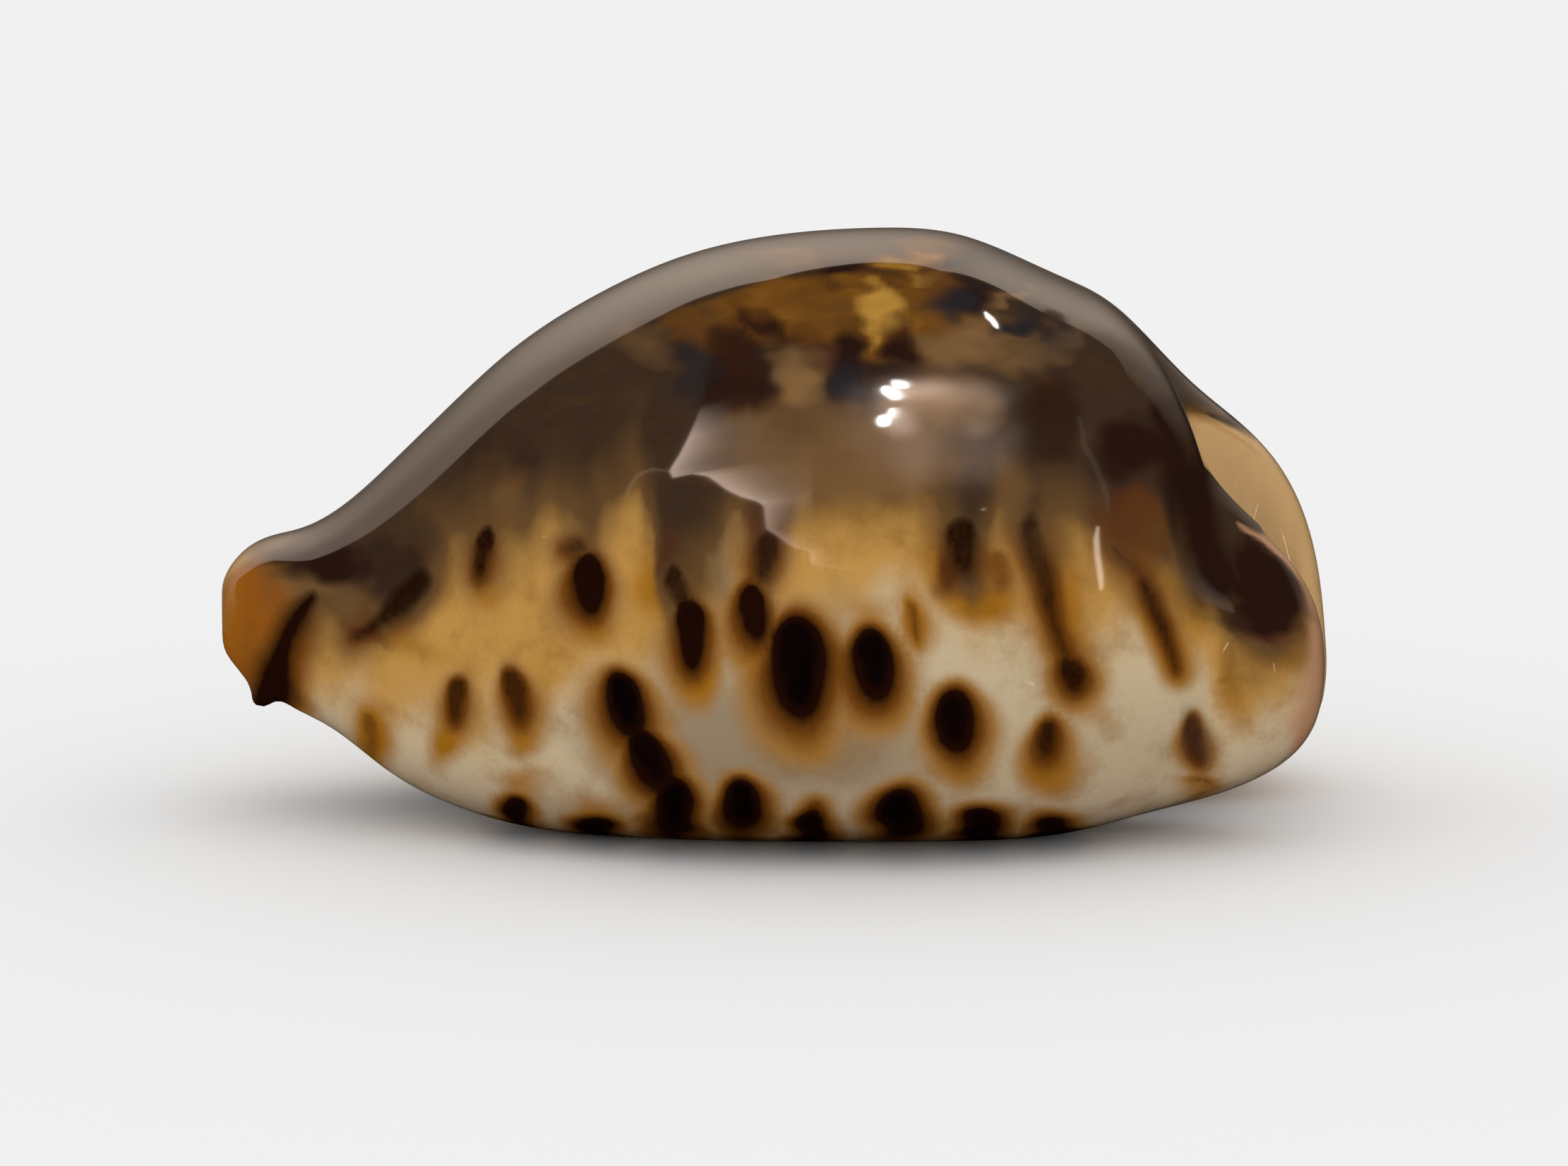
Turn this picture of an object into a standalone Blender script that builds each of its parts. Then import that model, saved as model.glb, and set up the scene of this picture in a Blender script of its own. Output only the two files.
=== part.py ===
"""Fulton's cowry, one grown piece of shell.

The shell is shaped like clay: each part of it is a function that gives, for points in space, how far
they lie outside that part, below zero inside it. The parts are joined and cut with rounded seams, the
result is turned into a mesh, thinned out, and stood on a small flat foot.

The snout is at -X and the back end with its two lobes at +X. +Z is the humped top. The slit runs along
the underside, with the columellar lip on its -Y side and the outer, labral lip on its +Y side.
"""

import bmesh
import bpy
import numpy as np
import openvdb

MM = 0.001

# Side view: the top line, the underside and the level of the widest point, at places along X, in mm.
TOP = (
    (-33, 14.4), (-29, 15.3), (-26.5, 15.9), (-24.3, 17.2), (-21.5, 19.7), (-18.3, 22.8),
    (-15.1, 25.7), (-10.4, 28.8), (-5.6, 31.0), (0, 32.3), (5.5, 32.7), (10.3, 32.3),
    (15, 30.4), (18.5, 28.8), (22, 26.8), (26, 23.4), (33, 13.0),
)
UNDERSIDE = (
    (-33, 8.0), (-30, 7.6), (-27.5, 6.2), (-24.5, 4.7), (-21.5, 2.5), (-18, 0.9), (-14, -0.1),
    (-9, -0.5), (0, -0.6), (9, -0.6), (15, -0.4), (18.5, 0.3), (22, 1.7), (26, 3.6), (33, 7.0),
)
WIDEST_LEVEL = ((-33, 10.6), (-25, 10.2), (-15, 10.0), (0, 10.6), (12, 11.0), (22, 11.0), (33, 11.0))

# Plan: how far the columellar and the labral side stand out from the middle.
COLUMELLAR_SIDE = (
    (-33, 5.6), (-30, 6.2), (-26, 8.0), (-22, 10.6), (-18, 13.4), (-10, 17.6), (0, 20.1),
    (8, 20.3), (15, 18.9), (20, 16.9), (24, 14.6), (33, 9.0),
)
LABRAL_SIDE = (
    (-33, 5.8), (-30, 6.4), (-26, 8.5), (-22, 11.4), (-18, 14.4), (-10, 18.3), (0, 20.6),
    (8, 20.7), (15, 19.2), (20, 17.2), (24, 14.8), (33, 9.0),
)

# The slit: its middle line, its width, and how high it is cut where there is no hollow above it.
SLIT_LINE = ((-33, 0.2), (-24, 0.4), (-10, 1.6), (3, 2.1), (12, 1.4), (19, -0.4), (25, -2.3), (33, -4.0))
SLIT_WIDTH = ((-33, 4.6), (-26, 5.2), (-16, 5.0), (-5, 4.2), (10, 3.6), (24, 3.0), (33, 2.6))
SLIT_HEIGHT = (
    (-33, 10.4), (-29, 10.2), (-24, 9.4), (-15, 12), (15, 12), (21, 10.5), (24, 9), (26, 12),
    (28, 17), (33, 22),
)

SNOUT_END = -31.3
BACK_END = 23.8
BACK_END_LEVEL = 18.3
BACK_TILT = np.radians(17.5)
WALL_TOP = 2.2
WALL_BASE = 5.2
TOOTH_HEIGHT = 0.6
LABRAL_TOOTH_PITCH = 2.2
COLUMELLAR_TOOTH_PITCH = 2.4
CELL = 0.6
TRIANGLES = 9400


def through(knots):
    """A smooth curve through its knots, as a function of X."""
    x, v = (np.array(column, float) * MM for column in zip(*knots))
    h, n = np.diff(x), len(x)
    bends = np.eye(n)
    kinks = np.zeros(n)
    for i in range(1, n - 1):
        bends[i, i - 1 : i + 2] = h[i - 1], 2 * (h[i - 1] + h[i]), h[i]
        kinks[i] = 6 * ((v[i + 1] - v[i]) / h[i] - (v[i] - v[i - 1]) / h[i - 1])
    m = np.linalg.solve(bends, kinks)

    def curve(at):
        at = np.clip(at, x[0], x[-1])
        i = np.clip(np.searchsorted(x, at) - 1, 0, n - 2)
        left, right = at - x[i], x[i + 1] - at
        return (
            (m[i] * right**3 + m[i + 1] * left**3) / (6 * h[i])
            + (v[i] / h[i] - m[i] * h[i] / 6) * right
            + (v[i + 1] / h[i] - m[i + 1] * h[i] / 6) * left
        )

    return curve


top, underside, widest_level = map(through, (TOP, UNDERSIDE, WIDEST_LEVEL))
columellar_side, labral_side = map(through, (COLUMELLAR_SIDE, LABRAL_SIDE))
slit_line, slit_width, slit_height = map(through, (SLIT_LINE, SLIT_WIDTH, SLIT_HEIGHT))


def rise(low, high, at):
    """0 below low, 1 above high, and an even slope between them; low and high in mm."""
    t = np.clip((at - low * MM) / ((high - low) * MM), 0, 1)
    return t * t * (3 - 2 * t)


def join(a, b, blend):
    """Both shapes as one, their seam filled over blend mm."""
    blend = blend * MM
    h = np.maximum(blend - np.abs(a - b), 0) / blend
    return np.minimum(a, b) - h * h * blend / 4


def overlap(a, b, blend):
    """Where both shapes are, the edge rounded."""
    return -join(-a, -b, blend)


def cut(a, b, blend):
    """The first shape without the second, the edge rounded."""
    return -join(-a, b, blend)


def ball(p, centre, radii, side=2.0, across=2.0):
    """A ball stretched to three radii; over 2, side makes it fuller seen along Y and across makes it boxier."""
    radii = np.array(radii) * MM
    q = np.abs(p - np.array(centre) * MM) / radii + 1e-6
    flat = (q[..., 0] ** side + q[..., 2] ** side) ** (1 / side)
    k = (flat**across + q[..., 1] ** across) ** (1 / across)
    steep = (q / flat[..., None]) ** (side - 1) * ((flat / k) ** (across - 1))[..., None]
    steep[..., 1] = (q[..., 1] / k) ** (across - 1)
    return (k - 1) / np.linalg.norm(steep / radii, axis=-1)


def rod(p, start, end, radius):
    """A round rod with round ends."""
    a, b = np.array(start) * MM, np.array(end) * MM
    along = np.clip((p - a) @ (b - a) / ((b - a) @ (b - a)), 0, 1)
    return np.linalg.norm(p - a - along[..., None] * (b - a), axis=-1) - radius * MM


def body(p):
    """The last whorl: a humped egg with full margins, drawn out into the snout in front."""
    x, y, z = p[..., 0], p[..., 1], p[..., 2]
    level = widest_level(x)
    half = np.where(y < 0, columellar_side(x), labral_side(x))
    reach = np.where(z > level, top(x) - level, level - underside(x))
    out, up = np.abs(y) + 1e-6, np.abs(z - level) + 1e-6
    square = 2.9 - (0.75 - 0.4 * rise(6, 22, x)) * rise(-6, 6, z - level)
    q = ((out / half) ** square + (up / reach) ** square) ** (1 / square)
    side = np.hypot(out, up) * (1 - 1 / q)
    front = SNOUT_END * MM - x
    back = (x - BACK_END * MM) * np.cos(BACK_TILT) + (z - BACK_END_LEVEL * MM) * np.sin(BACK_TILT)
    return overlap(overlap(side, front, 3.5), back, 3.0)


def near_lobe(p):
    """The lobe at the back on the columellar side, with a dished face."""
    return ball(p, (23.6, -7.4, 10.2), (5.8, 6.9, 6.2), 2.0, 2.5)


def far_lobe(p):
    """The larger, higher lobe at the back on the labral side."""
    bulge = ball(p, (23.1, 6.6, 9.4), (7.8, 8.6, 11.2), 2.4, 2.4)
    under = (1.6 * MM + (p[..., 0] - 20 * MM) * 0.3 - p[..., 2]) * 0.96
    return overlap(bulge, under, 4)


def canal(p):
    """The groove that climbs the back between the lobes."""
    return rod(p, (29.8, -2.7, 4), (24.4, -0.8, 24.5), 1.8)


def pocket(p):
    """The small hollow between the flank and the top of the near lobe."""
    return ball(p, (25.9, -14.7, 17.3), (4.2, 4.2, 4.2))


def furrow(p):
    """The shallow furrow that runs down from the pocket, between the flank and the near lobe."""
    return rod(p, (24.2, -17.2, 12), (23.4, -15.6, 2.5), 1.4)


def snout_fold(p):
    """The fold on the columellar side of the snout."""
    return rod(p, (-25.8, -10.4, 12.2), (-29.0, -6.2, 6.4), 1.2)


def snout_tip(p):
    """The small point that the fold ends in."""
    return rod(p, (-28.4, -4.2, 9.5), (-28.6, -4.0, 6.9), 0.8)


def outside(p):
    d = join(body(p), far_lobe(p), 9)
    d = join(d, near_lobe(p), 5.5)
    d = cut(d, canal(p), 5)
    d = cut(d, pocket(p), 4)
    d = cut(d, furrow(p), 2.5)
    d = cut(d, snout_fold(p), 1.5)
    return join(d, snout_tip(p), 1.2)


def hollow(p):
    """The room inside the whorl: the wall is thick at the base and thin at the top."""
    thick = WALL_TOP + (WALL_BASE - WALL_TOP) * (1 - rise(3, 22, p[..., 2]))
    return cut(body(p) + thick * MM, pocket(p) - 3.5 * MM, 3)


def slit(p):
    x, y, z = p[..., 0], p[..., 1], p[..., 2]
    return overlap(np.abs(y - slit_line(x)) - slit_width(x) / 2, z - slit_height(x), 2)


def teeth(p):
    """How far the teeth stand up: short ribs across both lips."""
    x, y, z = p[..., 0], p[..., 1], p[..., 2]
    side = y - slit_line(x)
    off = np.abs(side) - slit_width(x) / 2
    pitch = np.where(side > 0, LABRAL_TOOTH_PITCH, COLUMELLAR_TOOTH_PITCH) * MM
    rib = (0.5 + 0.5 * np.cos(2 * np.pi * x / pitch)) ** 1.5
    on_lip = (1 - rise(1.8, 3.8, off)) * (1 - rise(4.0, 6.0, z))
    along = rise(-25.5, -23, x) * (1 - rise(19, 22, x))
    return TOOTH_HEIGHT * MM * rib * on_lip * along


def shell(p):
    x = p[..., 0]
    d = cut(outside(p), hollow(p), 2)
    lip = 3.5 + 3.0 * rise(-28, -20, x) * (1 - 0.7 * rise(18, 26, x))
    return cut(d, slit(p), lip) - teeth(p)


def slope(p, by=2e-5):
    """The direction in which the distance grows."""
    g = np.empty_like(p)
    for axis in range(3):
        e = by * np.eye(3)[axis]
        g[..., axis] = (shell(p + e) - shell(p - e)) / (2 * by)
    return g


def skin(cell, rounds=4):
    """The surface as points and four-sided faces, spread evenly and set exactly on the shape."""
    low, high = np.array((-33, -22.5, -2)) * MM, np.array((34, 22.5, 35)) * MM
    axes = [np.arange(a, b, cell) for a, b in zip(low, high)]
    space = np.stack(np.meshgrid(*axes, indexing="ij"), -1)
    grid = openvdb.FloatGrid(1.0)
    grid.copyFromArray((shell(space) / cell).astype(np.float32))
    points, quads = grid.convertToQuads(isovalue=0.0)
    points = low + points.astype(float) * cell
    quads = quads.astype(int)
    ends = np.concatenate([quads[:, [i, (i + 1) % 4]] for i in range(4)])
    count = np.bincount(ends.ravel(), minlength=len(points))[:, None]
    for _ in range(rounds):
        total = np.zeros_like(points)
        np.add.at(total, ends[:, 0], points[ends[:, 1]])
        np.add.at(total, ends[:, 1], points[ends[:, 0]])
        points = (points + total / count) / 2
        for _ in range(2):
            g = slope(points)
            points = points - g * (shell(points) / np.maximum((g * g).sum(-1), 1e-9))[:, None]
    return points, quads


def shell_mesh():
    """The skin as a mesh, its faces turned outward."""
    points, quads = skin(CELL * MM)
    mesh = bpy.data.meshes.new("shell")
    mesh.from_pydata(points, [], quads)
    work = bmesh.new()
    work.from_mesh(mesh)
    bmesh.ops.recalc_face_normals(work, faces=work.faces)
    work.to_mesh(mesh)
    work.free()
    mesh.shade_smooth()
    return mesh


def flat_foot(thing):
    """Cuts the underside flat where the shell rests."""
    bpy.ops.mesh.primitive_cube_add(size=0.1, location=(0, 0, -0.05))
    floor = bpy.context.object
    floor.name = "floor_cutter"
    floor.hide_render = True
    floor.display_type = "WIRE"
    foot = thing.modifiers.new("Flat foot", "BOOLEAN")
    foot.operation = "DIFFERENCE"
    foot.solver = "EXACT"
    foot.object = floor


def glossy_shell():
    glaze = bpy.data.materials.new("glossy shell")
    glaze.use_nodes = True
    surface = glaze.node_tree.nodes["Principled BSDF"]
    surface.inputs["Base Color"].default_value = (0.38, 0.20, 0.07, 1)
    surface.inputs["Roughness"].default_value = 0.12
    surface.inputs["Metallic"].default_value = 0.0
    surface.inputs["Coat Weight"].default_value = 0.6
    glaze.diffuse_color = (0.38, 0.20, 0.07, 1)
    return glaze


def main():
    for thing in list(bpy.data.objects):
        bpy.data.objects.remove(thing)
    mesh = shell_mesh()
    mesh.materials.append(glossy_shell())
    cowry = bpy.data.objects.new("shell", mesh)
    bpy.context.collection.objects.link(cowry)
    thin_out = cowry.modifiers.new("Thin out", "DECIMATE")
    thin_out.ratio = TRIANGLES / (2 * len(mesh.polygons))
    flat_foot(cowry)


if __name__ == "__main__":
    main()
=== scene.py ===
"""Fulton's cowry: the fine surface of the shell, its markings, its glaze and the light on it."""

import bmesh
import bpy
import numpy as np
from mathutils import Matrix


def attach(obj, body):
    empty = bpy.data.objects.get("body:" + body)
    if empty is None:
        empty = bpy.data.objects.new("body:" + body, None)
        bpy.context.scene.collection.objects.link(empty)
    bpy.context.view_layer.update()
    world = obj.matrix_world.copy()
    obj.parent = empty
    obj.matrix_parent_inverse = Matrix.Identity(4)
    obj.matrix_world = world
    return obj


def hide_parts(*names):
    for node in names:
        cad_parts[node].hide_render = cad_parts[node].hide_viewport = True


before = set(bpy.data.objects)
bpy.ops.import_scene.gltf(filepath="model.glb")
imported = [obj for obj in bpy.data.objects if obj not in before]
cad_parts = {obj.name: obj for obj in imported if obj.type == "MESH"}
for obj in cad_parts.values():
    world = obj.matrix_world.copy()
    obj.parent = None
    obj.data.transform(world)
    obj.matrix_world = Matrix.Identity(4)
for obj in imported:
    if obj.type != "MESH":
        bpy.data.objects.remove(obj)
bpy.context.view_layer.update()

import openvdb
from mathutils import Vector

MM = 0.001

# Side view: the top line, the underside and the level of the widest point, at places along X, in mm.
TOP = (
    (-33, 14.4), (-29, 15.3), (-26.5, 15.9), (-24.3, 17.2), (-21.5, 19.7), (-18.3, 22.8),
    (-15.1, 25.7), (-10.4, 28.8), (-5.6, 31.0), (0, 32.3), (5.5, 32.7), (10.3, 32.3),
    (15, 30.4), (18.5, 28.8), (22, 26.8), (26, 23.4), (33, 13.0),
)
UNDERSIDE = (
    (-33, 8.0), (-30, 7.6), (-27.5, 6.2), (-24.5, 4.7), (-21.5, 2.5), (-18, 0.9), (-14, -0.1),
    (-9, -0.5), (0, -0.6), (9, -0.6), (15, -0.4), (18.5, 0.3), (22, 1.7), (26, 3.6), (33, 7.0),
)
WIDEST_LEVEL = ((-33, 10.6), (-25, 10.2), (-15, 10.0), (0, 10.6), (12, 11.0), (22, 11.0), (33, 11.0))

# Plan: how far the columellar and the labral side stand out from the middle.
COLUMELLAR_SIDE = (
    (-33, 5.6), (-30, 6.2), (-26, 8.0), (-22, 10.6), (-18, 13.4), (-10, 17.6), (0, 20.1),
    (8, 20.3), (15, 18.9), (20, 16.9), (24, 14.6), (33, 9.0),
)
LABRAL_SIDE = (
    (-33, 5.8), (-30, 6.4), (-26, 8.5), (-22, 11.4), (-18, 14.4), (-10, 18.3), (0, 20.6),
    (8, 20.7), (15, 19.2), (20, 17.2), (24, 14.8), (33, 9.0),
)

# The slit: its middle line, its width, and how high it is cut where there is no hollow above it.
SLIT_LINE = ((-33, 0.2), (-24, 0.4), (-10, 1.6), (3, 2.1), (12, 1.4), (19, -0.4), (25, -2.3), (33, -4.0))
SLIT_WIDTH = ((-33, 4.6), (-26, 5.2), (-16, 5.0), (-5, 4.2), (10, 3.6), (24, 3.0), (33, 2.6))
SLIT_HEIGHT = (
    (-33, 10.4), (-29, 10.2), (-24, 9.4), (-15, 12), (15, 12), (21, 10.5), (24, 9), (26, 12),
    (28, 17), (33, 22),
)

SNOUT_END = -31.3
BACK_END = 23.8
BACK_END_LEVEL = 18.3
BACK_TILT = np.radians(17.5)
WALL_TOP = 2.2
WALL_BASE = 5.2
TOOTH_HEIGHT = 0.6
LABRAL_TOOTH_PITCH = 2.2
COLUMELLAR_TOOTH_PITCH = 2.4

# How square the whorl's section is at its base, how much rounder at its top, and how much the back changes
# that.
BASE_SQUARENESS = 2.9
ROUNDER_TOP = 0.75
ROUNDER_TOP_LOST = 0.4

# Stretched balls: the centre, the three radii, and how full they are seen along Y and across; in mm.
NEAR_LOBE = ((23.6, -7.4, 10.2), (5.8, 6.9, 6.2), 2.0, 2.5)
FAR_LOBE = ((23.1, 6.6, 9.4), (7.8, 8.6, 11.2), 2.4, 2.4)
POCKET = ((25.9, -14.7, 17.3), (4.2, 4.2, 4.2))

# The underside of the far lobe: its level at a place along X, that place, its slope and the slope's cosine.
FAR_LOBE_UNDER = (1.6, 20, 0.3, 0.96)

# Rods: the start, the end and the radius, in mm.
CANAL = ((29.8, -2.7, 4), (24.4, -0.8, 24.5), 1.8)
FURROW = ((24.2, -17.2, 12), (23.4, -15.6, 2.5), 1.4)
SNOUT_FOLD = ((-25.8, -10.4, 12.2), (-29.0, -6.2, 6.4), 1.2)
SNOUT_TIP = ((-28.4, -4.2, 9.5), (-28.6, -4.0, 6.9), 0.8)

# The space that the surface is searched in, in mm, and the step in metres by which its slope is measured.
SPACE_LOW = (-33, -22.5, -2)
SPACE_HIGH = (34, 22.5, 35)
SLOPE_STEP = 2e-5

# How often the points are spread evenly and set back on the shape.
SPREAD_ROUNDS = 2
SETTLE_ROUNDS = 2


def through(knots):
    """A smooth curve through its knots, as a function of X."""
    x, v = (np.array(column, float) * MM for column in zip(*knots))
    h, n = np.diff(x), len(x)
    bends = np.eye(n)
    kinks = np.zeros(n)
    for i in range(1, n - 1):
        bends[i, i - 1 : i + 2] = h[i - 1], 2 * (h[i - 1] + h[i]), h[i]
        kinks[i] = 6 * ((v[i + 1] - v[i]) / h[i] - (v[i] - v[i - 1]) / h[i - 1])
    m = np.linalg.solve(bends, kinks)

    def curve(at):
        at = np.clip(at, x[0], x[-1])
        i = np.clip(np.searchsorted(x, at) - 1, 0, n - 2)
        left, right = at - x[i], x[i + 1] - at
        return (
            (m[i] * right**3 + m[i + 1] * left**3) / (6 * h[i])
            + (v[i] / h[i] - m[i] * h[i] / 6) * right
            + (v[i + 1] / h[i] - m[i + 1] * h[i] / 6) * left
        )

    return curve


top, underside, widest_level = map(through, (TOP, UNDERSIDE, WIDEST_LEVEL))
columellar_side, labral_side = map(through, (COLUMELLAR_SIDE, LABRAL_SIDE))
slit_line, slit_width, slit_height = map(through, (SLIT_LINE, SLIT_WIDTH, SLIT_HEIGHT))


def rise(low, high, at):
    """0 below low, 1 above high, and an even slope between them; low and high in mm."""
    t = np.clip((at - low * MM) / ((high - low) * MM), 0, 1)
    return t * t * (3 - 2 * t)


def join(a, b, blend):
    """Both shapes as one, their seam filled over blend mm."""
    blend = blend * MM
    h = np.maximum(blend - np.abs(a - b), 0) / blend
    return np.minimum(a, b) - h * h * blend / 4


def overlap(a, b, blend):
    """Where both shapes are, the edge rounded."""
    return -join(-a, -b, blend)


def cut(a, b, blend):
    """The first shape without the second, the edge rounded."""
    return -join(-a, b, blend)


def ball(p, centre, radii, side=2.0, across=2.0):
    """A ball stretched to three radii; over 2, side makes it fuller along Y and across boxier."""
    radii = np.array(radii) * MM
    q = np.abs(p - np.array(centre) * MM) / radii + 1e-6
    flat = (q[..., 0] ** side + q[..., 2] ** side) ** (1 / side)
    k = (flat**across + q[..., 1] ** across) ** (1 / across)
    steep = (q / flat[..., None]) ** (side - 1) * ((flat / k) ** (across - 1))[..., None]
    steep[..., 1] = (q[..., 1] / k) ** (across - 1)
    return (k - 1) / np.linalg.norm(steep / radii, axis=-1)


def rod(p, start, end, radius):
    """A round rod with round ends."""
    a, b = np.array(start) * MM, np.array(end) * MM
    along = np.clip((p - a) @ (b - a) / ((b - a) @ (b - a)), 0, 1)
    return np.linalg.norm(p - a - along[..., None] * (b - a), axis=-1) - radius * MM


def body(p):
    """The last whorl: a humped egg with full margins, drawn out into the snout in front."""
    x, y, z = p[..., 0], p[..., 1], p[..., 2]
    level = widest_level(x)
    half = np.where(y < 0, columellar_side(x), labral_side(x))
    reach = np.where(z > level, top(x) - level, level - underside(x))
    out, up = np.abs(y) + 1e-6, np.abs(z - level) + 1e-6
    rounder = ROUNDER_TOP - ROUNDER_TOP_LOST * rise(6, 22, x)
    square = BASE_SQUARENESS - rounder * rise(-6, 6, z - level)
    q = ((out / half) ** square + (up / reach) ** square) ** (1 / square)
    side = np.hypot(out, up) * (1 - 1 / q)
    front = SNOUT_END * MM - x
    back = (x - BACK_END * MM) * np.cos(BACK_TILT) + (z - BACK_END_LEVEL * MM) * np.sin(BACK_TILT)
    return overlap(overlap(side, front, 3.5), back, 3.0)


def near_lobe(p):
    """The lobe at the back on the columellar side, with a dished face."""
    return ball(p, *NEAR_LOBE)


def far_lobe(p):
    """The larger, higher lobe at the back on the labral side."""
    level, place, climb, cosine = FAR_LOBE_UNDER
    under = (level * MM + (p[..., 0] - place * MM) * climb - p[..., 2]) * cosine
    return overlap(ball(p, *FAR_LOBE), under, 4)


def canal(p):
    """The groove that climbs the back between the lobes."""
    return rod(p, *CANAL)


def pocket(p):
    """The small hollow between the flank and the top of the near lobe."""
    return ball(p, *POCKET)


def furrow(p):
    """The shallow furrow that runs down from the pocket, between the flank and the near lobe."""
    return rod(p, *FURROW)


def snout_fold(p):
    """The fold on the columellar side of the snout."""
    return rod(p, *SNOUT_FOLD)


def snout_tip(p):
    """The small point that the fold ends in."""
    return rod(p, *SNOUT_TIP)


def outside(p):
    """The shell as if it were solid: the whorl, the lobes and the grooves between them."""
    d = join(body(p), far_lobe(p), 9)
    d = join(d, near_lobe(p), 5.5)
    d = cut(d, canal(p), 5)
    d = cut(d, pocket(p), 4)
    d = cut(d, furrow(p), 2.5)
    d = cut(d, snout_fold(p), 1.5)
    return join(d, snout_tip(p), 1.2)


def hollow(p):
    """The room inside the whorl: the wall is thick at the base and thin at the top."""
    thick = WALL_TOP + (WALL_BASE - WALL_TOP) * (1 - rise(3, 22, p[..., 2]))
    return cut(body(p) + thick * MM, pocket(p) - 3.5 * MM, 3)


def slit(p):
    """The long slit in the base."""
    x, y, z = p[..., 0], p[..., 1], p[..., 2]
    return overlap(np.abs(y - slit_line(x)) - slit_width(x) / 2, z - slit_height(x), 2)


def teeth(p):
    """How far the teeth stand up: short ribs across both lips."""
    x, y, z = p[..., 0], p[..., 1], p[..., 2]
    side = y - slit_line(x)
    off = np.abs(side) - slit_width(x) / 2
    pitch = np.where(side > 0, LABRAL_TOOTH_PITCH, COLUMELLAR_TOOTH_PITCH) * MM
    rib = (0.5 + 0.5 * np.cos(2 * np.pi * x / pitch)) ** 1.5
    on_lip = (1 - rise(1.8, 3.8, off)) * (1 - rise(4.0, 6.0, z))
    along = rise(-25.5, -23, x) * (1 - rise(19, 22, x))
    return TOOTH_HEIGHT * MM * rib * on_lip * along


def shell(p):
    """The distance to the finished surface, negative in the wall."""
    x = p[..., 0]
    d = cut(outside(p), hollow(p), 2)
    lip = 3.5 + 3.0 * rise(-28, -20, x) * (1 - 0.7 * rise(18, 26, x))
    return cut(d, slit(p), lip) - teeth(p)


def slope(p):
    """The direction in which the distance grows."""
    g = np.empty_like(p)
    for axis in range(3):
        e = SLOPE_STEP * np.eye(3)[axis]
        g[..., axis] = (shell(p + e) - shell(p - e)) / (2 * SLOPE_STEP)
    return g


def skin(cell):
    """The surface as points and four-sided faces, spread evenly and set exactly on the shape."""
    low, high = np.array(SPACE_LOW) * MM, np.array(SPACE_HIGH) * MM
    axes = [np.arange(a, b, cell) for a, b in zip(low, high)]
    space = np.stack(np.meshgrid(*axes, indexing="ij"), -1)
    grid = openvdb.FloatGrid(1.0)
    grid.copyFromArray((shell(space) / cell).astype(np.float32))
    points, quads = grid.convertToQuads(isovalue=0.0)
    points = low + points.astype(float) * cell
    quads = quads.astype(int)
    ends = np.concatenate([quads[:, [i, (i + 1) % 4]] for i in range(4)])
    count = np.bincount(ends.ravel(), minlength=len(points))[:, None]
    for _ in range(SPREAD_ROUNDS):
        total = np.zeros_like(points)
        np.add.at(total, ends[:, 0], points[ends[:, 1]])
        np.add.at(total, ends[:, 1], points[ends[:, 0]])
        points = (points + total / count) / 2
        for _ in range(SETTLE_ROUNDS):
            g = slope(points)
            points = points - g * (shell(points) / np.maximum((g * g).sum(-1), 1e-9))[:, None]
    return points, quads


# The size of the surface's faces in mm, the share of them kept in the hollow, and the depth in mm where the
# hollow starts.
CELL = 0.36
INSIDE_KEPT = 0.3
HOLLOW_DEPTH = 1.2

# The camera: its lens, where it stands in metres, and the pixel of the photograph that it points at.
FRAME = (2221, 1652)
LENS = 100
SENSOR = 36
ELEVATION = np.radians(7.0)
DISTANCE = 0.245
TARGET_LEVEL = 0.0163
TARGET_PIXEL = (1100, 737)
FOCAL = LENS / SENSOR * FRAME[0]

# The two sides: the near one, which the photograph shows, and the far one.
NEAR, FAR = 1, -1

# The colours of the shell, as red, green and blue light.
CREAM = (0.60, 0.475, 0.30)
# Dull cream; at the lower right of the flank it is painted shade.
DULL_AND_SHADED_CREAM = (0.33, 0.25, 0.155)
HONEY = (0.55, 0.29, 0.07)
AMBER = (0.36, 0.145, 0.008)
DEEP_HONEY = (0.36, 0.18, 0.05)
BROWN = (0.17, 0.056, 0.006)
UMBER = (0.014, 0.0034, 0.0012)
BLACK = (0.003, 0.001, 0.001)
MANTLE = (0.046, 0.025, 0.014)
MANTLE_RIM = (0.13, 0.065, 0.022)
FAWN = (0.23, 0.12, 0.045)
OLD_GOLD = (0.17, 0.066, 0.009)
GOLD = (0.46, 0.24, 0.042)
RUST = (0.085, 0.022, 0.008)
NIGHT_BROWN = (0.022, 0.008, 0.005)
SLATE_GREY = (0.022, 0.024, 0.028)
TAN = (0.56, 0.34, 0.15)
PINK = (0.44, 0.23, 0.125)
ORANGE = (0.29, 0.088, 0.008)
BASE = (0.52, 0.40, 0.27)
LILAC = (0.45, 0.38, 0.36)
FLOOR_GREY = (0.88, 0.88, 0.88, 1)

# How rough the glaze and the floor are, how strongly the glaze bends light, and the floor's size in metres.
GLAZE_ROUGHNESS = 0.05
FLOOR_ROUGHNESS = 0.9
GLAZE_INDEX = 1.5
FLOOR_SIZE = 60

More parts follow.
